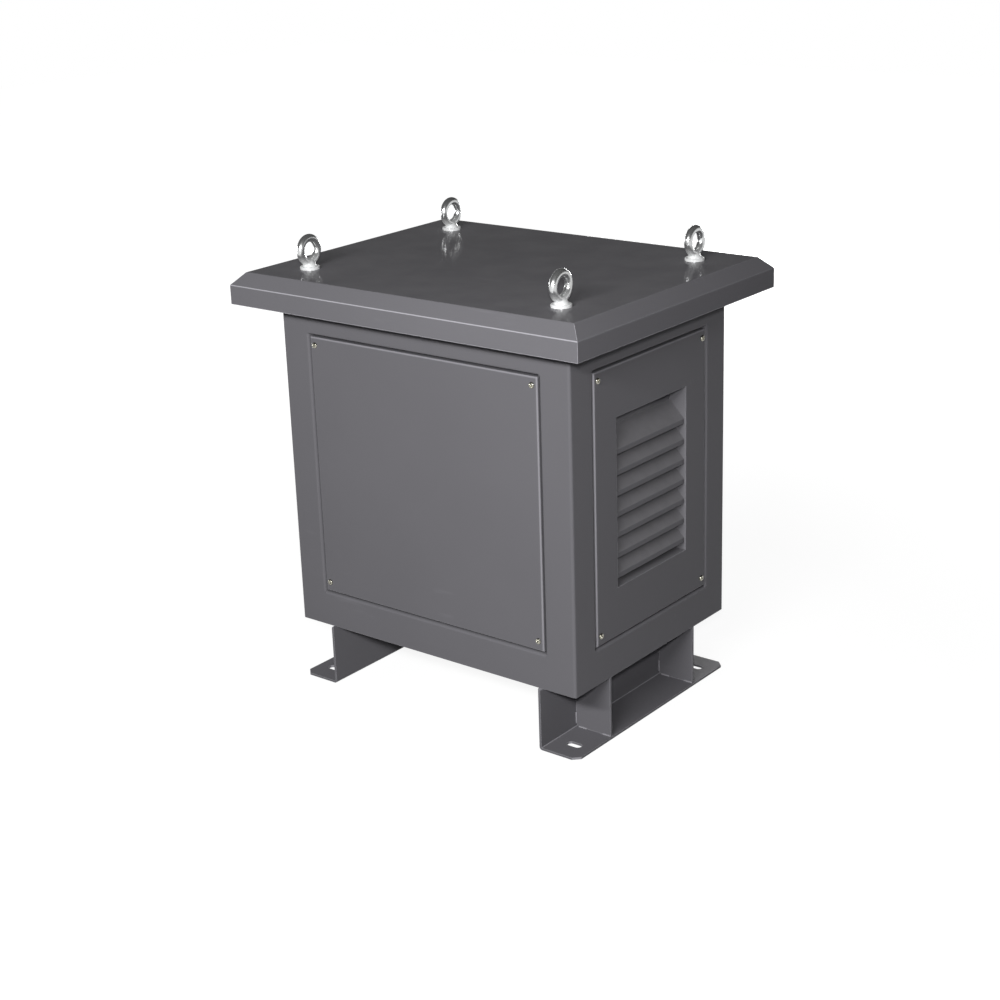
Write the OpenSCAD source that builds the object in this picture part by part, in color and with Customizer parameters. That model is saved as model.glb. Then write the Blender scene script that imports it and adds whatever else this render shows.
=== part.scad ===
// Isolation transformer: a dry three-limb core and its windings in a ventilated sheet-steel enclosure.
// Millimetres, +Z up, front towards -Y, origin on the floor at the middle of the footprint.

/* [Enclosure frame] */
// Width over the side walls
body_w = 450; // [430:1:560]
// Depth over the front and rear walls
body_d = 334; // [320:1:420]
// Height of the walls, from the base to the underside of the roof
body_h = 471.5; // [440:0.5:620]
// Thickness of the frame sheet
frame_t = 2; // [1.5:0.1:2.5]
// Inside radius of the bends in the frame sheet
frame_bend = 1.5; // [1:0.1:2.2]
// Width of each face of a corner post
post_w = 44; // [40:1:52]
// Height of the rails under the windows
bottom_rail_h = 47; // [40:1:60]
// Height of the rails over the windows
top_rail_h = 75; // [70:0.5:90]
// Width of the flange that carries the roof
roof_flange_w = 30; // [20:1:40]
// Width of the ledge that a panel seats on
ledge_w = 15; // [13:1:20]
// Thickness of the base plate
base_t = 3; // [2:0.5:5]
// Corner clip of plates that lie inside the frame's bends
corner_clip = 3; // [2.5:0.5:6]

/* [Panels] */
// Gap between a panel and the edge of its window
panel_gap = 2.5; // [2.3:0.1:4]
// Thickness of the panel sheet
panel_t = 1.5; // [1:0.1:2]
// Depth of a panel's folded edge, which is also the depth of the ledge behind it
panel_edge = 12; // [9:0.5:16]
// Inside radius of a panel's bends
panel_bend = 1; // [0.5:0.1:2]

/* [Louvres] */
// Width of the opening in a side panel
louvre_w = 152; // [120:1:180]
// Number of blades
blade_count = 7; // [5:1:8]
// Height from one blade to the next
blade_pitch = 26.4; // [24:0.1:28]
// Thickness of the blade sheet
blade_t = 1.2; // [0.8:0.1:1.5]
// Inside radius of a blade's bends
blade_bend = 1.2; // [0.8:0.1:2]
// Horizontal run of a blade's slope
blade_run = 22; // [18:0.5:26]
// Fall of a blade's slope
blade_drop = 22; // [18:0.5:26]
// Height of the upright nose along a blade's lower edge
nose_h = 6; // [4:0.5:8]
// Height of the upright lip along a blade's upper edge
back_lip_h = 8; // [5:0.5:12]
// Set-back of the noses behind the panel sheet
nose_setback = 1; // [0.5:0.1:3]
// Room between the top of the opening and the first blade
head_room = 12; // [8:0.5:20]
// Gap under the last blade
sill_gap = 10; // [6:0.5:14]
// Thickness of the box that carries the blades
louvre_box_t = 1.5; // [1:0.1:2]
// Depth of the box behind the blades
louvre_box_back = 1; // [0.5:0.5:4]

/* [Roof] */
// Overhang of the roof past the walls
roof_over = 44; // [30:0.5:60]
// Thickness of the roof sheet
roof_t = 2; // [1.5:0.1:3]
// Inside radius of the roof's bends
roof_bend = 1; // [0.5:0.1:3]
// Size of the slope between the roof's top and its skirt
roof_chamfer = 15.5; // [10:0.5:25]
// Height of the upright skirt
roof_skirt = 24.5; // [15:0.5:32]

/* [Lifting eyes] */
// Distance of each eye from the nearest side wall face
eye_in_x = 29; // [20:0.5:31]
// Distance of each eye from the nearest front or rear wall face
eye_in_y = 26.5; // [20:0.5:31]
// Height of an eye over the roof
eye_h = 44; // [40:0.5:50]
// Outside diameter of the ring
ring_d = 40; // [36:0.5:46]
// Diameter of the ring's bar
bar_d = 10; // [8:0.5:11]
// Diameter of the shank
shank_d = 10; // [8:1:12]
// Length of the shank under the collar
shank_l = 20; // [14:1:30]
// Diameter of the collar
collar_d = 25; // [22:0.5:30]
// Height of the collar
collar_h = 3.5; // [3:0.5:5]
// Diameter of the neck where it leaves the collar
neck_d = 18; // [15:0.5:20]
// Bevel around the collar
collar_bevel = 0.8; // [0.4:0.1:1.5]
// Thickness of the plates that the eyes are screwed into
lift_plate_t = 8; // [6:0.5:12]
// Clearance of the shank in the roof's hole
roof_hole_clear = 0.5; // [0.3:0.1:1]
// Clearance of the shank in its plate
thread_clear = 0.1; // [0.05:0.05:0.2]

/* [Feet] */
// Height of the feet
foot_h = 83; // [60:1:110]
// Thickness of the foot plate
foot_t = 3; // [2.5:0.5:5]
// Distance that the feet stand out past the walls
foot_out = 2; // [0:0.5:6]
// Width of a foot's lower flange, from its outer edge to the web's inner face
foot_w = 57.5; // [52:0.5:70]
// Width of the upper flange under the base
foot_top_w = 40; // [25:1:55]
// Length of the upper flange cut away at each end
foot_top_notch = 12; // [8:1:30]
// Inside radius of a foot's bends
foot_bend = 1; // [0.5:0.1:3]
// Corner cut of the lower flange
foot_chamfer = 8.5; // [4:0.5:12]
// Distance of a gusset's middle from the foot's end
gusset_in = 75; // [70:0.5:100]
// Thickness of a gusset
gusset_t = 3; // [2.5:0.5:5]
// Clip at a gusset's inner lower corner
gusset_clip = 3.5; // [3.5:0.5:12]
// Length of an anchor slot
slot_l = 21; // [16:0.5:26]
// Width of an anchor slot
slot_w = 11; // [9:0.5:14]
// Distance of a slot's centre from the foot's outer edge
slot_in_x = 26.5; // [22:0.5:32]
// Distance of a slot's centre from the foot's end
slot_in_y = 30.5; // [24:0.5:36]

/* [Core and windings] */
// Width of a core limb as a share of the distance between limbs
limb_share = 0.5; // [0.42:0.01:0.56]
// Clearance between the outer windings and the louvre boxes
core_side_gap = 20; // [10:0.5:30]
// Stack depth of the core
stack_d = 90; // [70:1:110]
// Height of the core's windows
core_window_h = 220; // [160:1:240]
// Clearance under the core
core_lift = 20; // [10:1:30]
// Gap between neighbouring windings
coil_space = 3.4; // [2:0.1:8]
// Outside corner radius of a winding
coil_corner = 22; // [10:1:26]
// Clearance of a winding on its limb
coil_clear = 0.3; // [0.1:0.1:0.6]
// Gap between a winding and each yoke
coil_end_gap = 5; // [3:0.5:12]
// Length of the core clamps past each end of the core
clamp_over = 15; // [0:0.5:18]
// Thickness of the clamp plate
clamp_t = 4; // [3:0.5:6]
// Width of a clamp's flanges
clamp_flange = 30; // [20:1:40]
// Inside radius of a clamp's bends
clamp_bend = 3; // [1:0.5:5]

/* [Hidden] */
SIDES = ["front", "right", "rear", "left"];
CORNERS = ["front_left", "front_right", "rear_right", "rear_left"];
CORNER_SIGNS = [[-1, -1], [1, -1], [1, 1], [-1, 1]];
ENDS = ["front", "rear"];
COILS = ["left", "centre", "right"];

$fn = 64;
// Chords in each bend of a folded sheet
bend_steps = 5;
// Length by which a cut runs past the face it opens
past = 1;

body_top = foot_h + body_h;
window_z0 = foot_h + bottom_rail_h;
window_z1 = body_top - top_rail_h;
window_z = (window_z0 + window_z1) / 2;
panel_h = window_z1 - window_z0 - 2 * panel_gap;
roof_top = body_top + roof_t;
base_top = foot_h + base_t;
first_nose = head_room + back_lip_h + blade_drop + nose_h;
louvre_h = first_nose + (blade_count - 1) * blade_pitch + sill_gap;
louvre_top = window_z + louvre_h / 2;
nose_depth = panel_t + nose_setback;
louvre_box_d = nose_setback + blade_run + blade_t + louvre_box_back;
foot_edge_x = body_w / 2 + foot_out;
foot_web_x = foot_edge_x - foot_w;
foot_l = body_d + 2 * foot_out;
// The windings share the room between the louvre boxes
core_room = body_w / 2 - panel_t - louvre_box_d - core_side_gap;
limb_pitch = (2 * core_room + coil_space) / 3;
limb_w = limb_share * limb_pitch;
core_z0 = base_top + core_lift;
core_h = core_window_h + 2 * limb_w;
coil_build = (limb_pitch - limb_w - coil_space) / 2 - coil_clear;
core_w = 2 * limb_pitch + limb_w;
clamp_l = core_w + 2 * clamp_over;

frame_grey = "dimgray";
inner_grey = "slategray";
zinc = "silver";

// Length of the window in a wall: sides 0 and 2 run along X, sides 1 and 3 along Y
function wall_depth(side) = side % 2 == 0 ? body_d : body_w;
function window_w(side) = (side % 2 == 0 ? body_w : body_d) - 2 * post_w;

// Place of a lifting eye in plan
function eye_place(k) = [
    CORNER_SIGNS[k].x * (body_w / 2 - eye_in_x),
    CORNER_SIGNS[k].y * (body_d / 2 - eye_in_y)
];

function unit(v) = v / norm(v);
function left_of(v) = [-v.y, v.x];
function turned(v, a) = [v.x * cos(a) - v.y * sin(a), v.x * sin(a) + v.y * cos(a)];
function bend_angle(a, b) = atan2(a.x * b.y - a.y * b.x, a * b);
function reversed(v) = [for (i = [len(v) - 1:-1:0]) v[i]];

// One face of a folded sheet of thickness t and inside bend radius r. The sheet lies to the left of
// the path: off = 0 gives the face on the path, off = t the face behind it.
function sheet_face(path, t, r, off) =
    let (
        last = len(path) - 1,
        runs = [for (i = [0:last - 1]) unit(path[i + 1] - path[i])]
    )
    [
        path[0] + off * left_of(runs[0]),
        for (i = [1:last - 1])
            let (
                a = bend_angle(runs[i - 1], runs[i]),
                face_r = a > 0 ? r + t : r,
                start = path[i] - runs[i - 1] * face_r * tan(abs(a) / 2),
                centre = start + sign(a) * face_r * left_of(runs[i - 1])
            )
            for (k = [0:bend_steps])
                centre - (sign(a) * face_r - off) * turned(left_of(runs[i - 1]), a * k / bend_steps),
        path[last] + off * left_of(runs[last - 1])
    ];

// Closed section of a folded sheet
function sheet_section(path, t, r) =
    concat(sheet_face(path, t, r, 0), reversed(sheet_face(path, t, r, t)));

// Section of a cap or pan of half-width a: skirt, optional 45-degree slope, flat top at height 0
function cap_path(a, drop, slope) =
    let (right = slope > 0 ? [[a, -drop], [a, -slope], [a - slope, 0]] : [[a, -drop], [a, 0]])
    concat(right, [for (p = reversed(right)) [-p.x, p.y]]);

// Block bounded by one face of two crossed cap sections, which meet in mitres at the corners
module cap_block(w, d, drop, slope, t, r, off) {
    intersection() {
        rotate([90, 0, 0])
            linear_extrude(d + 2 * past, center = true)
                polygon(sheet_face(cap_path(w / 2, drop, slope), t, r, off));
        rotate([90, 0, 90])
            linear_extrude(w + 2 * past, center = true)
                polygon(sheet_face(cap_path(d / 2, drop, slope), t, r, off));
    }
}

// Sheet cap, open below, with its flat top at height 0
module folded_cap(w, d, drop, slope, t, r) {
    difference() {
        cap_block(w, d, drop, slope, t, r, 0);
        cap_block(w, d, drop + past, slope, t, r, t);
    }
}

// Places a child on a wall: X along the wall, Y into the enclosure from its outer face
module on_wall(side) {
    rotate([0, 0, 90 * side])
        translate([0, -wall_depth(side) / 2, 0])
            children();
}

// Places a child at a corner of the enclosure, with X and Y along its two wall faces
module at_corner(k) {
    translate([CORNER_SIGNS[k].x * body_w / 2, CORNER_SIGNS[k].y * body_d / 2, 0])
        rotate([0, 0, 90 * k])
            children();
}

// Extrudes a section of depth and height along a wall
module along_wall(length) {
    rotate([90, 0, 90])
        linear_extrude(length, center = true)
            children();
}

// Square plate with one corner clipped to clear a bend
module clipped_square(size, clip) {
    polygon([[clip, 0], [size, 0], [size, size], [0, size], [0, clip]]);
}

module corner_post(k) {
    plain = [[0, post_w], [0, 0], [post_w, 0]];
    ledged = concat(
        [[panel_edge, post_w + ledge_w], [panel_edge, post_w]],
        plain,
        [[post_w, panel_edge], [post_w + ledge_w, panel_edge]]
    );
    color(frame_grey)
        at_corner(k) {
            translate([0, 0, foot_h])
                linear_extrude(bottom_rail_h)
                    polygon(sheet_section(plain, frame_t, frame_bend));
            translate([0, 0, window_z0])
                linear_extrude(window_z1 - window_z0)
                    polygon(sheet_section(ledged, frame_t, frame_bend));
            translate([0, 0, window_z1])
                linear_extrude(top_rail_h)
                    polygon(sheet_section(plain, frame_t, frame_bend));
        }
}

// Room for the corner posts' ledges at the ends of a rail
module ledge_ends(side, z) {
    for (end = [-1, 1])
        translate([end * window_w(side) / 2, panel_edge, z])
            cube([2 * ledge_w, 4 * frame_t, 2 * (ledge_w + past)], center = true);
}

module bottom_rail(side) {
    path = [
        [panel_edge, window_z0 + ledge_w],
        [panel_edge, window_z0],
        [0, window_z0],
        [0, foot_h]
    ];
    color(frame_grey)
        on_wall(side)
            difference() {
                along_wall(window_w(side))
                    polygon(sheet_section(path, frame_t, frame_bend));
                ledge_ends(side, window_z0 + ledge_w + past);
            }
}

module top_rail(side) {
    path = [
        [roof_flange_w, body_top],
        [0, body_top],
        [0, window_z1],
        [panel_edge, window_z1],
        [panel_edge, window_z1 - ledge_w]
    ];
    color(frame_grey)
        on_wall(side)
            difference() {
                along_wall(window_w(side))
                    polygon(sheet_section(path, frame_t, frame_bend));
                ledge_ends(side, window_z1 - ledge_w - past);
            }
}

module base_plate() {
    w = body_w - 2 * frame_t;
    d = body_d - 2 * frame_t;
    c = corner_clip;
    color(frame_grey)
        translate([0, 0, foot_h])
            linear_extrude(base_t)
                polygon([
                    for (k = [0:3])
                        let (sx = CORNER_SIGNS[k].x, sy = CORNER_SIGNS[k].y, first = k % 2 == 0)
                        for (cut = first ? [[0, c], [c, 0]] : [[c, 0], [0, c]])
                            [sx * (w / 2 - cut.x), sy * (d / 2 - cut.y)]
                ]);
}

module roof() {
    color(frame_grey)
        difference() {
            translate([0, 0, roof_top])
                folded_cap(
                    body_w + 2 * roof_over, body_d + 2 * roof_over,
                    roof_chamfer + roof_skirt, roof_chamfer, roof_t, roof_bend
                );
            for (k = [0:3])
                translate([eye_place(k).x, eye_place(k).y, body_top - past])
                    cylinder(h = roof_t + 2 * past, d = shank_d + 2 * roof_hole_clear);
        }
}

module lifting_plate(k) {
    color(frame_grey)
        difference() {
            at_corner(k)
                translate([frame_t, frame_t, body_top - lift_plate_t])
                    linear_extrude(lift_plate_t)
                        clipped_square(post_w - frame_t, corner_clip);
            translate([eye_place(k).x, eye_place(k).y, body_top - lift_plate_t - past])
                cylinder(h = lift_plate_t + 2 * past, d = shank_d + 2 * thread_clear);
        }
}

// Eye bolt with its collar on the roof and its ring across the width
module lifting_eye(k) {
    ring_z = eye_h - ring_d / 2;
    bar_z = ring_z - (ring_d - bar_d) / 2;
    color(zinc)
        translate([eye_place(k).x, eye_place(k).y, roof_top]) {
            rotate_extrude()
                polygon([
                    [0, -shank_l],
                    [shank_d / 2, -shank_l],
                    [shank_d / 2, 0],
                    [collar_d / 2, 0],
                    [collar_d / 2, collar_h - collar_bevel],
                    [collar_d / 2 - collar_bevel, collar_h],
                    [neck_d / 2, collar_h],
                    [bar_d / 2, bar_z + bar_d / 4],
                    [0, bar_z + bar_d / 4]
                ]);
            translate([0, 0, ring_z])
                rotate([0, 90, 0])
                    rotate_extrude()
                        translate([(ring_d - bar_d) / 2, 0])
                            circle(d = bar_d);
        }
}

// Flush pan that seats on the ledges of its window, with its face outward
module panel(side) {
    on_wall(side)
        translate([0, 0, window_z])
            rotate([90, 0, 0])
                folded_cap(window_w(side) - 2 * panel_gap, panel_h, panel_edge, 0, panel_t, panel_bend);
}

module plain_panel(side) {
    color(frame_grey)
        panel(side);
}

module louvre_panel(side) {
    color(frame_grey)
        difference() {
            panel(side);
            on_wall(side)
                translate([0, 0, window_z])
                    cube([louvre_w, 2 * (panel_t + past), louvre_h], center = true);
        }
}

// Open box behind a panel's opening, which carries the blades
module louvre_box(side) {
    color(frame_grey)
        on_wall(side)
            translate([0, panel_t + louvre_box_d / 2, window_z])
                difference() {
                    cube([louvre_w + 2 * louvre_box_t, louvre_box_d, louvre_h + 2 * louvre_box_t], center = true);
                    cube([louvre_w, louvre_box_d + 2 * past, louvre_h], center = true);
                }
}

// Row of sloping blades, each with an upright lip above and an upright nose below
module louvre_blades(side) {
    path = [
        [nose_depth + blade_run, nose_h + blade_drop + back_lip_h],
        [nose_depth + blade_run, nose_h + blade_drop],
        [nose_depth, nose_h],
        [nose_depth, 0]
    ];
    color(frame_grey)
        on_wall(side)
            for (i = [0:blade_count - 1])
                translate([0, 0, louvre_top - first_nose - i * blade_pitch])
                    along_wall(louvre_w)
                        polygon(sheet_section(path, blade_t, blade_bend));
}

// Obround hole along X
module anchor_slot() {
    linear_extrude(foot_t + 2 * past) {
        square([slot_l - slot_w, slot_w], center = true);
        for (end = [-1, 1])
            translate([end * (slot_l - slot_w) / 2, 0])
                circle(d = slot_w);
    }
}

// Folded foot on the +X side: lower flange outward, web, upper flange inward under the base
module foot_profile() {
    path = [
        [foot_web_x - foot_top_w, foot_h - foot_t],
        [foot_web_x, foot_h - foot_t],
        [foot_web_x, 0],
        [foot_edge_x, 0]
    ];
    rotate([90, 0, 0])
        linear_extrude(foot_l, center = true)
            polygon(sheet_section(path, foot_t, foot_bend));
}

module foot(hand) {
    color(frame_grey)
        mirror([hand < 0 ? 1 : 0, 0, 0])
            difference() {
                foot_profile();
                for (end = [-1, 1]) {
                    translate([foot_edge_x - slot_in_x, end * (foot_l / 2 - slot_in_y), -past])
                        anchor_slot();
                    translate([foot_edge_x, end * foot_l / 2, 0])
                        rotate([0, 0, 45])
                            cube([foot_chamfer * sqrt(2), foot_chamfer * sqrt(2), 4 * foot_t], center = true);
                    translate([foot_web_x - foot_top_w, end * foot_l / 2, foot_h])
                        cube([2 * foot_top_w, 2 * foot_top_notch, 4 * foot_t], center = true);
                }
            }
}

// Upright plate between a foot's web and the wall face
module gusset(hand, end) {
    x0 = foot_web_x + foot_t;
    color(frame_grey)
        mirror([hand < 0 ? 1 : 0, 0, 0])
            translate([0, end * (foot_l / 2 - gusset_in), 0])
                rotate([90, 0, 0])
                    linear_extrude(gusset_t, center = true)
                        polygon([
                            [x0 + gusset_clip, foot_t],
                            [body_w / 2, foot_t],
                            [body_w / 2, foot_h],
                            [x0, foot_h],
                            [x0, foot_t + gusset_clip]
                        ]);
}

module core() {
    color(inner_grey)
        translate([0, 0, core_z0 + core_h / 2])
            difference() {
                cube([core_w, stack_d, core_h], center = true);
                for (s = [-1, 1])
                    translate([s * limb_pitch / 2, 0, 0])
                        cube([limb_pitch - limb_w, stack_d + 2 * past, core_window_h], center = true);
            }
}

module rounded_rectangle(w, d, r) {
    square([w - 2 * r, d], center = true);
    square([w, d - 2 * r], center = true);
    for (sx = [-1, 1], sy = [-1, 1])
        translate([sx * (w / 2 - r), sy * (d / 2 - r)])
            circle(r);
}

// Winding on one limb
module winding(place) {
    bore_w = limb_w + 2 * coil_clear;
    bore_d = stack_d + 2 * coil_clear;
    color("sienna")
        translate([place * limb_pitch, 0, core_z0 + limb_w + coil_end_gap])
            linear_extrude(core_window_h - 2 * coil_end_gap)
                difference() {
                    rounded_rectangle(bore_w + 2 * coil_build, bore_d + 2 * coil_build, coil_corner);
                    square([bore_w, bore_d], center = true);
                }
}

// Channel along a yoke, with its web against the core and its flanges outward
module clamp(end, z0, z1) {
    web_y = stack_d / 2;
    path = [
        [web_y + clamp_flange, z0],
        [web_y, z0],
        [web_y, z1],
        [web_y + clamp_flange, z1]
    ];
    color(inner_grey)
        mirror([0, end < 0 ? 1 : 0, 0])
            along_wall(clamp_l)
                polygon(sheet_section(reversed(path), clamp_t, clamp_bend));
}

module lower_clamp(end) {
    clamp(end, base_top, core_z0 + limb_w);
}

module upper_clamp(end) {
    clamp(end, core_z0 + core_h - limb_w, core_z0 + core_h);
}

for (k = [0:3]) {
    corner_post(k);
    bottom_rail(k);
    top_rail(k);
    lifting_plate(k);
    lifting_eye(k);
}
base_plate();
roof();
plain_panel(0);  // front_panel
plain_panel(2);  // rear_panel
louvre_panel(1);  // right_louvre_panel
louvre_panel(3);  // left_louvre_panel
louvre_box(1);  // right_louvre_box
louvre_box(3);  // left_louvre_box
louvre_blades(1);  // right_louvre_blades
louvre_blades(3);  // left_louvre_blades
foot(1);  // right_foot
foot(-1);  // left_foot
for (e = [0, 1]) {
    gusset(1, 2 * e - 1);
    gusset(-1, 2 * e - 1);
    lower_clamp(2 * e - 1);
    upper_clamp(2 * e - 1);
}
core();
for (c = [0:2])
    winding(c - 1);
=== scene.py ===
"""Looks of the isolation transformer: powder coat, zinc lifting eyes, panel screws and welds."""

import math

import bpy
import numpy as np
from mathutils import Matrix, Vector


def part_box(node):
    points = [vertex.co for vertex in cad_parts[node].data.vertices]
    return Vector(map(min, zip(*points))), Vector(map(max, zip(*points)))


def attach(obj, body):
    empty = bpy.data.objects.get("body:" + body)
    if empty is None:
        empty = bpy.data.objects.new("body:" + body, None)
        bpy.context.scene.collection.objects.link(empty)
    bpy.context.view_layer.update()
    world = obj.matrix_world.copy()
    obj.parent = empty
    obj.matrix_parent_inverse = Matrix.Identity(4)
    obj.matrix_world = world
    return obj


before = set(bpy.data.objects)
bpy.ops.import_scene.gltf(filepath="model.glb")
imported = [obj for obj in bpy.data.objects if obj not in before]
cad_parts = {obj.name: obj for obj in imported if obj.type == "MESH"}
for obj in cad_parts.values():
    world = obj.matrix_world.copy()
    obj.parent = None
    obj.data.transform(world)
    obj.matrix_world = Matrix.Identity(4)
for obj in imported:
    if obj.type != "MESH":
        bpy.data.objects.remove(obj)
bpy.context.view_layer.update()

# Sizes in metres
MM = 0.001

# Panel screws: pan heads with a cross recess, set in from the panel's edges
SCREW_HEAD_R = 3.9 * MM
SCREW_HEAD_H = 2.3 * MM
SCREW_CROWN_POWER = 3.2
SCREW_RIM_POWER = 2.4
SCREW_SUNK = 0.3 * MM
SCREW_IN_SIDE = 7.75 * MM
SCREW_IN_TOP = 10.7 * MM
SCREW_IN_BOTTOM = 12.8 * MM
RECESS_ARM_L = 2.3 * MM
RECESS_ARM_W = 0.62 * MM
RECESS_DEPTH = 1.5 * MM
RECESS_FULL = 1.25

# Turn of the first screw's cross on a panel, and from each screw to the next, in radians
FIRST_TURN = 0.5
NEXT_TURN = 1.9

# Rings of a screw head: evenly spaced over the crown, then closer and closer towards the rim
CROWN_RINGS = 26
CROWN_SHARES = (0.03, 0.86)
RIM_RINGS = 8
RIM_ANGLES = (1.05, 0.5 * np.pi)
SCREW_SIDES = 56

# Stitch welds of the gussets
WELD_R = 1.6 * MM
WELD_RIPPLE = 0.1
WELD_RIPPLE_PITCH = 2.2 * MM
WELD_END_SHARE = 0.04
WELD_END_POWER = 6
BASE_WELD_L = 13 * MM
SIDE_WELD_L = 16 * MM
GUSSET_CLIP = 3.5 * MM
WELD_RINGS = 40
WELD_SIDES = 20

# Reach of the painted highlight along a bend, and how much lighter than its coat the highlight is painted
BEND_HIGHLIGHT_REACH = 1.1 * MM
PANEL_BEND_HIGHLIGHT = 2.0
FRAME_BEND_HIGHLIGHT = 1.7
ROOF_BEND_HIGHLIGHT = 2.6
NO_BEND_HIGHLIGHT = 1.0

# Powder coat as new, and where it is rubbed: rougher as real wear and lighter as a painted sheen; the
# rubbed streaks reach further where the threshold is lower
COAT_ROUGHNESS = 0.28
COAT_SPECULAR = 0.045
RUBBED_ROUGHNESS = 0.45
RUB_SHEEN_LIGHT = 1.25
RUB_AND_SHEEN_REACH = 0.62
ROOF_RUB_AND_SHEEN_REACH = 0.5

# Roof, by the rise of a face, which is 0 on a wall and 1 on the top: the top, which is painted lighter, and
# the fold over the skirt, which gets a painted highlight
TOP_RISE = (0.9, 0.98)
FOLD_BEGINS = (0.1, 0.3)
FOLD_ENDS = (0.62, 0.48)
FOLD_FACING = (0.3, 0.6)
SIDE_FOLD_SHARE = 0.05
ROOF_SKIN = 0.5
ROOF_SKIN_ROUGHNESS = 0.12

# Lifting eyes: the heights between which the plating goes from the neck and collar, pale with little metal
# as a painted glare, to the mirror-like ring, darkened by painted shade; and both looks
EYE_HEIGHTS = (562 * MM, 575 * MM)
GLARE_COLLAR_METAL = 0.15
MIRROR_METAL = 0.9
RING_PAINTED_SHADE = 0.7
EYE_ROUGHNESS = 0.2
SCREW_ROUGHNESS = 0.18
CLOUD_ROUGHNESS = 0.12

# Camera: a view from the front right, a little above the roof
CAMERA_PLACE = Vector((1.4292, -1.8058, 1.0628))
CAMERA_AZIMUTH = math.radians(38.649)
CAMERA_FALL = math.radians(19.587)
CAMERA_ROLL = math.radians(-1.926)
CAMERA_LENS = 67.235
CAMERA_SENSOR = 36.0

# Each lamp's place, the point that it faces, its width and height, and its power in watts
OBJECT_MIDDLE = (0.0, 0.0, 0.35)
WALL_MIDDLE = (0.0, 0.0, 0.28)
LAMPS = {
    "camera_lamp": ((1.48, -1.87, 1.22), OBJECT_MIDDLE, 0.12, 0.12, 29.0),
    "front_lamp": ((0.6, -1.9, 1.28), OBJECT_MIDDLE, 1.1, 0.15, 35.0),
    "rear_lamp": ((-1.0, 2.5, 0.28), WALL_MIDDLE, 1.2, 0.5, 46.0),
    "left_lamp": ((-2.6, 0.3, 0.28), WALL_MIDDLE, 1.2, 0.5, 38.0),
}

# World: the weak fill, and what reflections see at the horizon and overhead
FILL = 0.03
HORIZON = 1.0
OVERHEAD = 0.05
HORIZON_RISE = (0.03, 0.2)

# Floor: half its side, and the distances between which its glow grows to full white
FLOOR_HALF = 6.0
GLOW_REACH = (0.6, 1.6)
NEAR_GLOW = 0.9

# Each panel with the direction that it faces and the direction along its wall
PANEL_WALLS = {
    "front_panel": ((0, -1, 0), (1, 0, 0)),
    "right_louvre_panel": ((1, 0, 0), (0, 1, 0)),
    "rear_panel": ((0, 1, 0), (-1, 0, 0)),
    "left_louvre_panel": ((-1, 0, 0), (0, -1, 0)),
}
UP = np.array((0.0, 0.0, 1.0))

# The colour sockets of a mix node, which share their names with its number sockets
MIX_FIRST = 6
MIX_SECOND = 7
MIX_RESULT = 2


def srgb(r, g, b):
    """A display colour in 0 to 255 as linear light with full alpha."""
    value = np.array((r, g, b)) / 255
    linear = np.where(value <= 0.04045, value / 12.92, ((value + 0.055) / 1.055) ** 2.4)
    return (*linear.tolist(), 1.0)


COAT_GREY = srgb(105, 104, 108)
# Lighter copy of the coat grey for the roof, as a painted sheen
ROOF_SHEEN_GREY = srgb(111, 110, 114)
# Lighter copy of the coat grey for the louvre boxes, as painted light on their cheeks
BOX_LIT_GREY = srgb(118, 117, 121)
# Paler grey laid on faces that look up, as painted light
TOP_LIGHT_GREY = srgb(146, 145, 147)
LAMINATION_GREY = srgb(78, 76, 76)
WRAP_AMBER = srgb(132, 92, 56)
CLAMP_GREY = srgb(70, 72, 76)
EYE_BRIGHT = (0.95, 0.96, 0.97, 1.0)
EYE_DULL = (0.8, 0.81, 0.8, 1.0)
SCREW_BRIGHT = (0.45, 0.44, 0.39, 1.0)
SCREW_DULL = (0.22, 0.21, 0.16, 1.0)
FLOOR_GREY = (0.18, 0.18, 0.18, 1.0)
WHITE = (1.0, 1.0, 1.0, 1.0)

# Shader pieces


def new_group(name, inputs, outputs):
    """A shader node group from its inputs, as names and defaults, and its outputs; a triple is a vector."""
    group = bpy.data.node_groups.new(name, "ShaderNodeTree")
    for label, value in inputs.items():
        kind = "NodeSocketVector" if isinstance(value, tuple) else "NodeSocketFloat"
        socket = group.interface.new_socket(label, in_out="INPUT", socket_type=kind)
        socket.default_value = value
    for label in outputs:
        group.interface.new_socket(label, in_out="OUTPUT", socket_type="NodeSocketFloat")
    return group, group.nodes.new("NodeGroupInput").outputs, group.nodes.new("NodeGroupOutput").inputs


def feed(tree, value, socket):
    """Links a socket, or sets a plain value."""
    if isinstance(value, bpy.types.NodeSocket):
        tree.links.new(value, socket)
    else:
        socket.default_value = value


def arithmetic(tree, operation, first, second=0.0):
    """One arithmetic node over two sockets or numbers."""
    node = tree.nodes.new("ShaderNodeMath")
    node.operation = operation
    feed(tree, first, node.inputs[0])
    feed(tree, second, node.inputs[1])
    return node.outputs[0]


def vector_step(tree, operation, first, second=(0.0, 0.0, 0.0)):
    """One vector node over two sockets or triples; a length or a dot product gives a number."""
    node = tree.nodes.new("ShaderNodeVectorMath")
    node.operation = operation
    feed(tree, first, node.inputs[0])
    feed(tree, second, node.inputs[1])
    return node.outputs["Value" if operation in ("LENGTH", "DOT_PRODUCT") else "Vector"]


def noise(tree, place, scale, detail):
    """Smooth noise from 0 to 1 over a place socket."""
    node = tree.nodes.new("ShaderNodeTexNoise")
    feed(tree, place, node.inputs["Vector"])
    feed(tree, scale, node.inputs["Scale"])
    node.inputs["Detail"].default_value = detail
    return node.outputs["Fac"]


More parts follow.
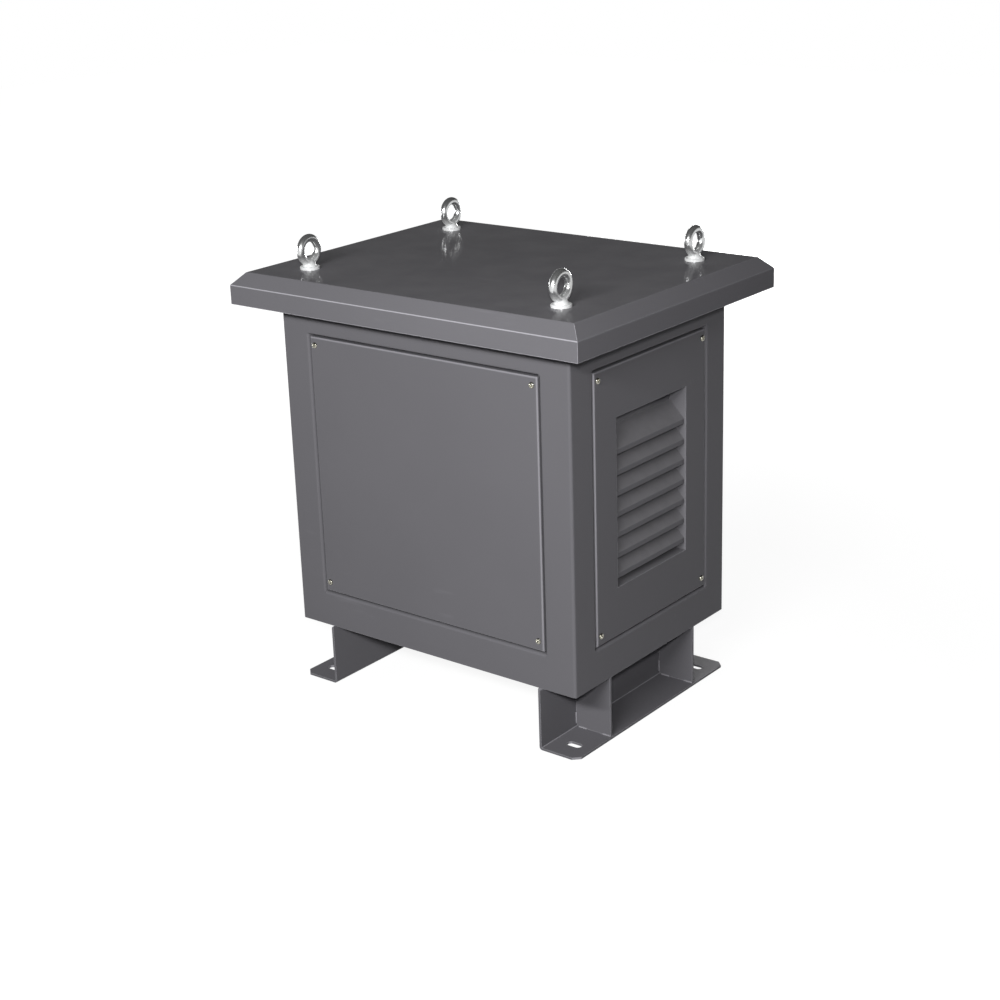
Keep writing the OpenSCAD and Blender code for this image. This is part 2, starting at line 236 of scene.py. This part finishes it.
def ramp(tree, value, low, high, start=0.0, end=1.0):
    """Start below low and end above high, with a straight climb between."""
    node = tree.nodes.new("ShaderNodeMapRange")
    feed(tree, value, node.inputs["Value"])
    for label, number in (("From Min", low), ("From Max", high), ("To Min", start), ("To Max", end)):
        feed(tree, number, node.inputs[label])
    return node.outputs["Result"]


def object_place(tree):
    """Object coordinates."""
    return tree.nodes.new("ShaderNodeTexCoord").outputs["Object"]


def face_normal(tree):
    """The normal of each face, without smoothing."""
    return tree.nodes.new("ShaderNodeNewGeometry").outputs["True Normal"]


def parts_of(tree, vector):
    """The X, Y and Z of a vector socket."""
    node = tree.nodes.new("ShaderNodeSeparateXYZ")
    tree.links.new(vector, node.inputs[0])
    return node.outputs


def grain_group():
    """Grain of a coat: a fine peel height, and a shade near 1 from a slow drift and a fine speck."""
    group, given, result = new_group(
        "coat_grain",
        {"Peel Scale": 700.0, "Drift Scale": 6.0, "Shade Depth": 0.1},
        ("Height", "Shade"),
    )
    place = object_place(group)
    peel = noise(group, place, given["Peel Scale"], detail=2.0)
    finer = arithmetic(group, "MULTIPLY", given["Peel Scale"], 1.6)
    speck = noise(group, place, finer, detail=1.0)
    drift = noise(group, place, given["Drift Scale"], detail=3.0)
    swing = arithmetic(group, "SUBTRACT", arithmetic(group, "ADD", speck, drift), 1.0)
    shade = arithmetic(group, "ADD", arithmetic(group, "MULTIPLY", swing, given["Shade Depth"]), 1.0)
    group.links.new(peel, result["Height"])
    group.links.new(shade, result["Shade"])
    return group


def rub_and_sheen_group():
    """Rub marks with a painted sheen: a mask of short faint streaks, where stretched noise passes a
    threshold in patches.
    """
    group, given, result = new_group(
        "rubs_and_painted_sheen",
        {"Stretch": (14.0, 260.0, 90.0), "Reach": 0.5},
        ("Mask",),
    )
    place = object_place(group)
    spread = vector_step(group, "MULTIPLY", place, given["Stretch"])
    streak = ramp(group, noise(group, spread, scale=1.0, detail=3.0), low=0.58, high=0.74)
    patch = ramp(group, noise(group, place, scale=9.0, detail=2.0), low=given["Reach"], high=0.75)
    group.links.new(arithmetic(group, "MULTIPLY", streak, patch), result["Mask"])
    return group


def bend_highlight_group():
    """Painted bend highlights: a mask that is 0 on a flat sheet and 1 along an edge or a fold, where the
    coat is painted lighter as a highlight.

    An edge is where rounding turns the normal far; Axes weighs the turn along each axis, and with
    Outward Only at 1 a turn towards the middle of the object doesn't count, so that a welded joint ground
    flush shows no line. A fold is where the normal leaves all three axes, times Square Folds.
    """
    group, given, result = new_group(
        "painted_bend_highlights",
        {"Radius": BEND_HIGHLIGHT_REACH, "Axes": (1.0, 1.0, 1.0), "Outward Only": 0.0, "Square Folds": 0.0},
        ("Mask",),
    )
    rounded = group.nodes.new("ShaderNodeBevel")
    rounded.samples = 6
    group.links.new(given["Radius"], rounded.inputs["Radius"])
    flat = face_normal(group)
    turn = vector_step(group, "SUBTRACT", rounded.outputs["Normal"], flat)
    turn = vector_step(group, "MULTIPLY", turn, given["Axes"])
    size = vector_step(group, "LENGTH", turn)
    from_middle = vector_step(group, "MULTIPLY", object_place(group), (1.0, 1.0, 0.0))
    away = vector_step(group, "DOT_PRODUCT", turn, from_middle)
    every_turn = arithmetic(group, "SUBTRACT", 1.0, given["Outward Only"])
    kept = arithmetic(group, "MAXIMUM", ramp(group, away, low=0.0, high=0.002), every_turn)
    edge = arithmetic(group, "MULTIPLY", ramp(group, size, low=0.06, high=0.32), kept)
    parts = parts_of(group, vector_step(group, "ABSOLUTE", flat))
    most = arithmetic(group, "MAXIMUM", parts["X"], parts["Y"])
    most = arithmetic(group, "MAXIMUM", most, parts["Z"])
    fold = arithmetic(group, "MULTIPLY", ramp(group, most, low=0.96, high=0.86), given["Square Folds"])
    group.links.new(arithmetic(group, "MAXIMUM", edge, fold), result["Mask"])
    return group


def top_light_group():
    """Painted light on upward faces: a patchy mask between Least and Most, on faces that rise from Rise
    From to Rise To.
    """
    group, given, result = new_group(
        "painted_top_light",
        {"Rise From": 0.25, "Rise To": 0.6, "Patch Scale": 60.0, "Least": 0.22, "Most": 0.34},
        ("Mask",),
    )
    rise = parts_of(group, face_normal(group))["Z"]
    upward = ramp(group, rise, given["Rise From"], given["Rise To"])
    cloud = noise(group, object_place(group), given["Patch Scale"], detail=5.0)
    patch = ramp(group, cloud, low=0.3, high=0.7, start=given["Least"], end=given["Most"])
    group.links.new(arithmetic(group, "MULTIPLY", upward, patch), result["Mask"])
    return group


GRAIN = grain_group()
RUBS_AND_SHEEN = rub_and_sheen_group()
BEND_HIGHLIGHTS = bend_highlight_group()
TOP_LIGHT = top_light_group()


def use_group(tree, group, **values):
    """Places a node group in a material with its own values; spaces in socket names become underscores."""
    node = tree.nodes.new("ShaderNodeGroup")
    node.node_tree = group
    for label, value in values.items():
        feed(tree, value, node.inputs[label.replace("_", " ")])
    return node.outputs


def shader_of(material):
    """A material's node tree and its shader's sockets."""
    tree = material.node_tree
    return tree, tree.nodes["Principled BSDF"].inputs


def new_material(name, roughness, metallic, specular):
    """A material with its shader's constants set, its node tree and its shader's sockets."""
    material = bpy.data.materials.new(name)
    material.use_nodes = True
    tree, sockets = shader_of(material)
    sockets["Roughness"].default_value = roughness
    sockets["Metallic"].default_value = metallic
    sockets["Specular IOR Level"].default_value = specular
    return material, tree, sockets


def lightened(colour, light):
    """A colour times a number, with full alpha."""
    return tuple(light * part for part in colour[:3]) + (1.0,)


def shaded(tree, colour, shade):
    """A colour times a shade that varies over the surface."""
    node = tree.nodes.new("ShaderNodeVectorMath")
    node.operation = "SCALE"
    feed(tree, colour if isinstance(colour, bpy.types.NodeSocket) else colour[:3], node.inputs[0])
    tree.links.new(shade, node.inputs["Scale"])
    return node.outputs[0]


def blended(tree, mask, first, second):
    """First colour where the mask is 0, second where it is 1."""
    node = tree.nodes.new("ShaderNodeMix")
    node.data_type = "RGBA"
    feed(tree, mask, node.inputs["Factor"])
    feed(tree, first, node.inputs[MIX_FIRST])
    feed(tree, second, node.inputs[MIX_SECOND])
    return node.outputs[MIX_RESULT]


def cover(tree, sockets, mask, colour):
    """Lays a colour over the shader's base colour where the mask is 1."""
    below = sockets["Base Color"].links[0].from_socket
    tree.links.new(blended(tree, mask, below, colour), sockets["Base Color"])


def raise_bump(tree, sockets, height, strength, distance):
    """A height as bump on the shader's normal."""
    node = tree.nodes.new("ShaderNodeBump")
    node.inputs["Strength"].default_value = strength
    node.inputs["Distance"].default_value = distance
    tree.links.new(height, node.inputs["Height"])
    tree.links.new(node.outputs["Normal"], sockets["Normal"])


# Materials


def powder_coat(name, bend_highlight, grey=COAT_GREY, rub_and_sheen_reach=RUB_AND_SHEEN_REACH, **bend_values):
    """Satin grey powder coat with a fine peel, a slow drift of shade, faint rub marks with a painted sheen
    and painted highlights along the bends.
    """
    material, tree, sockets = new_material(name, COAT_ROUGHNESS, metallic=0.0, specular=COAT_SPECULAR)
    grain = use_group(tree, GRAIN, Peel_Scale=700.0, Drift_Scale=6.0, Shade_Depth=0.12)
    rubs_and_sheen = use_group(tree, RUBS_AND_SHEEN, Reach=rub_and_sheen_reach)["Mask"]
    bends = use_group(tree, BEND_HIGHLIGHTS, **bend_values)["Mask"]
    # Rubbed streaks are painted lighter as a sheen; their higher roughness is real wear.
    body = blended(tree, rubs_and_sheen, shaded(tree, grey, grain["Shade"]), lightened(grey, RUB_SHEEN_LIGHT))
    # Bends and edges are painted lighter as a highlight.
    tree.links.new(blended(tree, bends, body, lightened(grey, bend_highlight)), sockets["Base Color"])
    tree.links.new(ramp(tree, rubs_and_sheen, 0.0, 1.0, COAT_ROUGHNESS, RUBBED_ROUGHNESS), sockets["Roughness"])
    raise_bump(tree, sockets, grain["Height"], strength=0.12, distance=0.2 * MM)
    return material


def roof_coat():
    """The coat on the roof: a smooth skin, patches of painted light on the top, and a painted highlight on
    the skirt's fold.

    The highlight is painted strong along the front and the rear and faint along the sides.
    """
    material = powder_coat("roof_powder_coat", ROOF_BEND_HIGHLIGHT, ROOF_SHEEN_GREY, ROOF_RUB_AND_SHEEN_REACH)
    tree, sockets = shader_of(material)
    parts = parts_of(tree, face_normal(tree))
    rise = parts["Z"]
    # Paler patches on the top are painted light.
    top_light = use_group(
        tree, TOP_LIGHT, Rise_From=TOP_RISE[0], Rise_To=TOP_RISE[1], Patch_Scale=22.0, Least=0.06, Most=0.26
    )
    cover(tree, sockets, top_light["Mask"], TOP_LIGHT_GREY)
    # The skirt's fold is painted lighter as a highlight, faint on the sides.
    fold = arithmetic(tree, "MULTIPLY", ramp(tree, rise, *FOLD_BEGINS), ramp(tree, rise, *FOLD_ENDS))
    facing = arithmetic(tree, "ABSOLUTE", parts["Y"])
    fold = arithmetic(tree, "MULTIPLY", fold, ramp(tree, facing, *FOLD_FACING, start=SIDE_FOLD_SHARE))
    cover(tree, sockets, fold, lightened(ROOF_SHEEN_GREY, ROOF_BEND_HIGHLIGHT))
    tree.links.new(ramp(tree, rise, *TOP_RISE, end=ROOF_SKIN), sockets["Coat Weight"])
    sockets["Specular IOR Level"].default_value = 0.0
    sockets["Coat Roughness"].default_value = ROOF_SKIN_ROUGHNESS
    return material


def blade_coat():
    """The coat on the louvre blades: a paler grey lies in patches on the slopes, which face up, as painted
    light.
    """
    material = powder_coat("blade_powder_coat", NO_BEND_HIGHLIGHT)
    tree, sockets = shader_of(material)
    # Paler patches on the up-facing slopes are painted light.
    cover(tree, sockets, use_group(tree, TOP_LIGHT)["Mask"], TOP_LIGHT_GREY)
    return material


def zinc_plate(name, bright, dull, roughness):
    """Bright zinc plating that clouds over in patches."""
    material, tree, sockets = new_material(name, roughness, metallic=1.0, specular=0.5)
    grain = use_group(tree, GRAIN, Peel_Scale=900.0, Drift_Scale=90.0, Shade_Depth=0.15)
    cloud = ramp(tree, grain["Shade"], low=0.95, high=1.05)
    clouded = ramp(tree, cloud, 0.0, 1.0, roughness, roughness + CLOUD_ROUGHNESS)
    tree.links.new(blended(tree, cloud, bright, dull), sockets["Base Color"])
    tree.links.new(clouded, sockets["Roughness"])
    raise_bump(tree, sockets, grain["Height"], strength=0.05, distance=0.1 * MM)
    return material


def eye_zinc():
    """The plating of the lifting eyes: mirror-like on the ring and darkened there as painted shade, pale
    with little metal on the neck and collar as a painted glare.
    """
    material = zinc_plate("bright_zinc", EYE_BRIGHT, EYE_DULL, EYE_ROUGHNESS)
    tree, sockets = shader_of(material)
    height = parts_of(tree, object_place(tree))["Z"]
    # The ring's plating is darkened as painted shade.
    shade = ramp(tree, height, *EYE_HEIGHTS, start=1.0, end=RING_PAINTED_SHADE)
    plating = sockets["Base Color"].links[0].from_socket
    tree.links.new(shaded(tree, plating, shade), sockets["Base Color"])
    # Little metal on the neck and collar shows their pale colour as a painted glare.
    shine = ramp(tree, height, *EYE_HEIGHTS, start=GLARE_COLLAR_METAL, end=MIRROR_METAL)
    tree.links.new(shine, sockets["Metallic"])
    return material


def core_laminations():
    """Varnished laminations: thin sheets stacked along Y, seen as fine lines."""
    material, tree, sockets = new_material("core_laminations", roughness=0.45, metallic=0.3, specular=0.4)
    stacked = vector_step(tree, "MULTIPLY", object_place(tree), (4.0, 2200.0, 4.0))
    sheets = noise(tree, stacked, scale=1.0, detail=1.0)
    grain = use_group(tree, GRAIN, Peel_Scale=300.0, Drift_Scale=20.0, Shade_Depth=0.3)
    line = ramp(tree, sheets, low=0.35, high=0.6, start=0.55)
    tone = arithmetic(tree, "MULTIPLY", line, grain["Shade"])
    tree.links.new(shaded(tree, LAMINATION_GREY, tone), sockets["Base Color"])
    raise_bump(tree, sockets, sheets, strength=0.4, distance=0.2 * MM)
    return material


def winding_wrap():
    """Varnished winding: turns stacked along Z under an amber wrap."""
    material, tree, sockets = new_material("winding_wrap", roughness=0.35, metallic=0.0, specular=0.5)
    turns = tree.nodes.new("ShaderNodeTexWave")
    turns.bands_direction = "Z"
    turns.inputs["Scale"].default_value = 80.0
    turns.inputs["Distortion"].default_value = 0.6
    tree.links.new(object_place(tree), turns.inputs["Vector"])
    grain = use_group(tree, GRAIN, Peel_Scale=250.0, Drift_Scale=25.0, Shade_Depth=0.4)
    groove = ramp(tree, turns.outputs["Fac"], low=0.0, high=0.5, start=0.6)
    tone = arithmetic(tree, "MULTIPLY", groove, grain["Shade"])
    tree.links.new(shaded(tree, WRAP_AMBER, tone), sockets["Base Color"])
    raise_bump(tree, sockets, turns.outputs["Fac"], strength=0.5, distance=0.6 * MM)
    return material


def clamp_paint():
    """Dark satin paint of the core clamps."""
    material, tree, sockets = new_material("clamp_paint", roughness=0.45, metallic=0.0, specular=0.4)
    grain = use_group(tree, GRAIN, Peel_Scale=500.0, Drift_Scale=15.0, Shade_Depth=0.25)
    tree.links.new(shaded(tree, CLAMP_GREY, grain["Shade"]), sockets["Base Color"])
    raise_bump(tree, sockets, grain["Height"], strength=0.15, distance=0.2 * MM)
    return material


COAT = powder_coat("grey_powder_coat", PANEL_BEND_HIGHLIGHT, Square_Folds=1.0)
# The louvre boxes are a lighter grey as painted light on their cheeks.
BOX_COAT = powder_coat("box_powder_coat", NO_BEND_HIGHLIGHT, BOX_LIT_GREY)
BLADE_COAT = blade_coat()
POST_COAT = powder_coat("post_powder_coat", FRAME_BEND_HIGHLIGHT, Axes=(1.0, 1.0, 0.0), Outward_Only=1.0)
RAIL_COAT = powder_coat("rail_powder_coat", FRAME_BEND_HIGHLIGHT, Axes=(0.0, 0.0, 1.0))
ROOF_COAT = roof_coat()
ZINC = eye_zinc()
SCREW_ZINC = zinc_plate("screw_zinc", SCREW_BRIGHT, SCREW_DULL, SCREW_ROUGHNESS)
LAMINATIONS = core_laminations()
WRAP = winding_wrap()
CLAMP_PAINT = clamp_paint()

# Finishes by the start of a CAD node's name; the rest has the plain coat
FINISHES = {
    "lifting_eye": ZINC,
    "corner_post": POST_COAT,
    "bottom_rail": RAIL_COAT,
    "top_rail": RAIL_COAT,
    "left_louvre_box": BOX_COAT,
    "right_louvre_box": BOX_COAT,
    "left_louvre_blades": BLADE_COAT,
    "right_louvre_blades": BLADE_COAT,
    "core": LAMINATIONS,
    "winding": WRAP,
    "lower_clamp": CLAMP_PAINT,
    "upper_clamp": CLAMP_PAINT,
    "roof": ROOF_COAT,
}


def node_material(name):
    """The finish of a CAD node, by what it is."""
    for start, material in FINISHES.items():
        if name.startswith(start):
            return material
    return COAT


for node_name, node_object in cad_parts.items():
    node_object.data.materials.clear()
    node_object.data.materials.append(node_material(node_name))


# Surfaces


def closed_rings(rings):
    """Faces of a closed surface over rings of points, with a fan of triangles from a pole at each end.

    The rings are an array of (ring, side, 3), and each pole is the mean of its end ring.
    """
    count, sides = rings.shape[:2]
    vertices = np.concatenate((rings.reshape(-1, 3), rings[0].mean(0)[None], rings[-1].mean(0)[None]))
    index = np.arange(count * sides).reshape(count, sides)
    beside = np.roll(index, -1, axis=1)
    first = np.stack((index[:-1], beside[:-1], beside[1:]), axis=-1).reshape(-1, 3)
    second = np.stack((index[:-1], beside[1:], index[1:]), axis=-1).reshape(-1, 3)
    start = np.stack((np.full(sides, count * sides), beside[0], index[0]), axis=-1)
    end = np.stack((np.full(sides, count * sides + 1), index[-1], beside[-1]), axis=-1)
    return vertices, np.concatenate((first, second, start, end))


def outward(vertices, triangles):
    """Triangles turned so that the volume they enclose, a sum of signed tetrahedra, is positive."""
    a, b, c = (vertices[triangles[:, k]] for k in range(3))
    volume = np.einsum("ij,ij->i", a, np.cross(b, c)).sum()
    return triangles if volume > 0 else triangles[:, ::-1]


def add_copies(name, surfaces, material):
    """One smooth mesh from several closed surfaces of (vertices, triangles), riding on the enclosure."""
    starts = np.cumsum([0] + [len(vertices) for vertices, _ in surfaces[:-1]])
    vertices = np.concatenate([points for points, _ in surfaces])
    triangles = np.concatenate([outward(*surface) + start for surface, start in zip(surfaces, starts)])
    mesh = bpy.data.meshes.new(name)
    mesh.from_pydata(vertices.tolist(), [], triangles.tolist())
    mesh.polygons.foreach_set("use_smooth", np.ones(len(triangles), bool))
    mesh.materials.append(material)
    piece = bpy.data.objects.new(name, mesh)
    bpy.context.scene.collection.objects.link(piece)
    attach(piece, "root")


# Panel screws


def recess_depth(x, y):
    """Depth of a cross recess: for each arm, a fall across its width times a fall along its length."""
    def arm(along, across):
        width = np.clip(1 - (across / RECESS_ARM_W) ** 2, 0, 1)
        return width * np.clip(RECESS_FULL - along / RECESS_ARM_L, 0, 1)
    return RECESS_DEPTH * np.maximum(arm(np.abs(x), np.abs(y)), arm(np.abs(y), np.abs(x)))


def screw_head(turn):
    """A pan head on the plane z = 0, as rings of (ring, side, 3).

    Going out from the axis, the radius grows evenly to the rim and the height follows a superellipse.
    A cross recess turned by an angle is taken off the height, and a last ring closes the seat below the
    sheet.
    """
    crown = np.linspace(*CROWN_SHARES, CROWN_RINGS)
    rim = np.sin(np.linspace(*RIM_ANGLES, RIM_RINGS))
    share = np.concatenate((crown, rim))[:, None]
    angle = np.linspace(0, 2 * np.pi, SCREW_SIDES, endpoint=False)
    height = SCREW_HEAD_H * (1 - share ** SCREW_CROWN_POWER) ** (1 / SCREW_RIM_POWER)
    x = SCREW_HEAD_R * share * np.cos(angle)
    y = SCREW_HEAD_R * share * np.sin(angle)
    cut = recess_depth(x * np.cos(turn) + y * np.sin(turn), y * np.cos(turn) - x * np.sin(turn))
    top = np.stack((x, y, height - cut), axis=-1)
    seat = top[-1:].copy()
    seat[..., 2] = -SCREW_SUNK
    return np.concatenate((top, seat))


def add_panel_screws():
    """Four screws on each panel, near its corners."""
    for panel, (facing, along) in PANEL_WALLS.items():
        low, high = (np.array(corner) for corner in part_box(panel))
        facing = np.array(facing, float)
        along = np.array(along, float)
        middle = (low + high) / 2
        half = np.abs(along) @ (high - low) / 2 - SCREW_IN_SIDE
        face = middle + facing * (np.abs(facing) @ (high - low) / 2)
        heights = (high[2] - SCREW_IN_TOP, low[2] + SCREW_IN_BOTTOM)
        spots = [(side * half, height) for height in heights for side in (-1, 1)]
        axes = np.stack((along, UP, facing))
        surfaces = []
        for count, (offset, height) in enumerate(spots):
            vertices, triangles = closed_rings(screw_head(FIRST_TURN + NEXT_TURN * count) @ axes)
            place = face + along * offset
            place[2] = height
            surfaces.append((vertices + place, triangles))
        add_copies(panel.replace("panel", "screws"), surfaces, SCREW_ZINC)


add_panel_screws()


# Welds


def weld_bead(start, end, first, second):
    """A stitch weld in an inside corner, as rings of (ring, side, 3).

    A round profile in the plane of the two plates' normals is carried along the corner's line. Its radius
    ripples along the line and falls to nothing at both ends, as the root of one less a high power.
    """
    length = np.linalg.norm(end - start)
    sweep = np.linspace(WELD_END_SHARE, 1 - WELD_END_SHARE, WELD_RINGS) * np.pi
    share = (1 - np.cos(sweep)) / 2
    ripple = 1 + WELD_RIPPLE * np.abs(np.sin(np.pi * share * length / WELD_RIPPLE_PITCH))
    radius = WELD_R * ripple * np.sqrt(1 - np.abs(2 * share - 1) ** WELD_END_POWER)
    angle = np.linspace(0, 2 * np.pi, WELD_SIDES, endpoint=False)
    profile = np.cos(angle)[:, None] * first + np.sin(angle)[:, None] * second
    line = start + share[:, None] * (end - start)
    return line[:, None] + radius[:, None, None] * profile


def gusset_beads(gusset):
    """Stitch welds on both faces of a gusset: at the ends of its base and of its side along the web."""
    low, high = (np.array(corner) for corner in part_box(gusset))
    hand = np.sign(low[0] + high[0])
    web, rim = sorted((low[0], high[0]), key=abs)
    across = np.array((hand, 0.0, 0.0))
    beads = []
    for face, side in ((low[1], -1.0), (high[1], 1.0)):
        facing = np.array((0.0, side, 0.0))
        inner = np.array((web + hand * GUSSET_CLIP, face, low[2]))
        outer = np.array((rim, face, low[2]))
        beads.append(weld_bead(inner, inner + across * BASE_WELD_L, facing, UP))
        beads.append(weld_bead(outer - across * BASE_WELD_L, outer, facing, UP))
        lower = np.array((web, face, low[2] + GUSSET_CLIP))
        upper = np.array((web, face, high[2] - WELD_R))
        beads.append(weld_bead(lower, lower + UP * SIDE_WELD_L, facing, across))
        beads.append(weld_bead(upper - UP * SIDE_WELD_L, upper, facing, across))
    return beads


def add_foot_welds():
    """The welds of each foot's two gussets, as one piece a foot."""
    for hand in ("left", "right"):
        beads = gusset_beads(f"{hand}_gusset_front") + gusset_beads(f"{hand}_gusset_rear")
        add_copies(f"{hand}_foot_welds", [closed_rings(bead) for bead in beads], COAT)


add_foot_welds()


# Camera


def add_camera():
    """A camera at CAMERA_PLACE, turned by azimuth and fall, then rolled about its own axis."""
    ahead = Vector((
        -math.sin(CAMERA_AZIMUTH) * math.cos(CAMERA_FALL),
        math.cos(CAMERA_AZIMUTH) * math.cos(CAMERA_FALL),
        -math.sin(CAMERA_FALL),
    ))
    level = Vector((math.cos(CAMERA_AZIMUTH), math.sin(CAMERA_AZIMUTH), 0.0))
    raised = level.cross(ahead)
    right = math.cos(CAMERA_ROLL) * level + math.sin(CAMERA_ROLL) * raised
    up = right.cross(ahead)
    data = bpy.data.cameras.new("camera")
    data.sensor_width = CAMERA_SENSOR
    data.lens = CAMERA_LENS
    camera = bpy.data.objects.new("camera", data)
    bpy.context.scene.collection.objects.link(camera)
    turn = Matrix((right, up, -ahead)).transposed().to_4x4()
    camera.matrix_world = Matrix.Translation(CAMERA_PLACE) @ turn
    bpy.context.scene.camera = camera


add_camera()


# Light, floor and background


def add_lamp(name, place, target, width, height, power):
    """A soft lamp that faces a target."""
    data = bpy.data.lights.new(name, "AREA")
    data.shape = "RECTANGLE"
    data.size = width
    data.size_y = height
    data.energy = power
    lamp = bpy.data.objects.new(name, data)
    lamp.location = place
    lamp.rotation_euler = (Vector(target) - Vector(place)).to_track_quat("-Z", "Y").to_euler()
    bpy.context.scene.collection.objects.link(lamp)


for lamp_name, lamp_values in LAMPS.items():
    add_lamp(lamp_name, *lamp_values)


def background_rays(tree):
    """1 for the rays that show the background: camera, glossy and transmission rays."""
    path = tree.nodes.new("ShaderNodeLightPath").outputs
    shown = arithmetic(tree, "MAXIMUM", path["Is Camera Ray"], path["Is Glossy Ray"])
    return arithmetic(tree, "MAXIMUM", shown, path["Is Transmission Ray"])


def add_world():
    """White to the camera; a white horizon and a dark sky to reflections; a weak fill to the rest."""
    world = bpy.data.worlds.new("studio")
    bpy.context.scene.world = world
    world.use_nodes = True
    tree = world.node_tree
    rise = parts_of(tree, tree.nodes.new("ShaderNodeTexCoord").outputs["Generated"])["Z"]
    reflected = ramp(tree, rise, *HORIZON_RISE, start=HORIZON, end=OVERHEAD)
    seen = tree.nodes.new("ShaderNodeLightPath").outputs["Is Camera Ray"]
    backdrop = arithmetic(tree, "MAXIMUM", reflected, seen)
    strength = ramp(tree, background_rays(tree), 0.0, 1.0, FILL, backdrop)
    sockets = tree.nodes["Background"].inputs
    tree.links.new(strength, sockets["Strength"])
    sockets["Color"].default_value = WHITE


add_world()


def add_floor():
    """A pale square under the feet that shows white where no shadow falls."""
    half = FLOOR_HALF
    mesh = bpy.data.meshes.new("floor")
    corners = [(-half, -half, 0.0), (half, -half, 0.0), (half, half, 0.0), (-half, half, 0.0)]
    mesh.from_pydata(corners, [], [(0, 1, 2, 3)])
    floor = bpy.data.objects.new("floor", mesh)
    bpy.context.scene.collection.objects.link(floor)
    material, tree, sockets = new_material("pale_floor", roughness=0.9, metallic=0.0, specular=0.0)
    sockets["Base Color"].default_value = FLOOR_GREY
    sockets["Emission Color"].default_value = WHITE
    reach = vector_step(tree, "LENGTH", object_place(tree))
    glow = ramp(tree, reach, *GLOW_REACH, start=NEAR_GLOW)
    tree.links.new(arithmetic(tree, "MULTIPLY", background_rays(tree), glow), sockets["Emission Strength"])
    mesh.materials.append(material)


add_floor()

bpy.context.scene.view_settings.view_transform = "Standard"
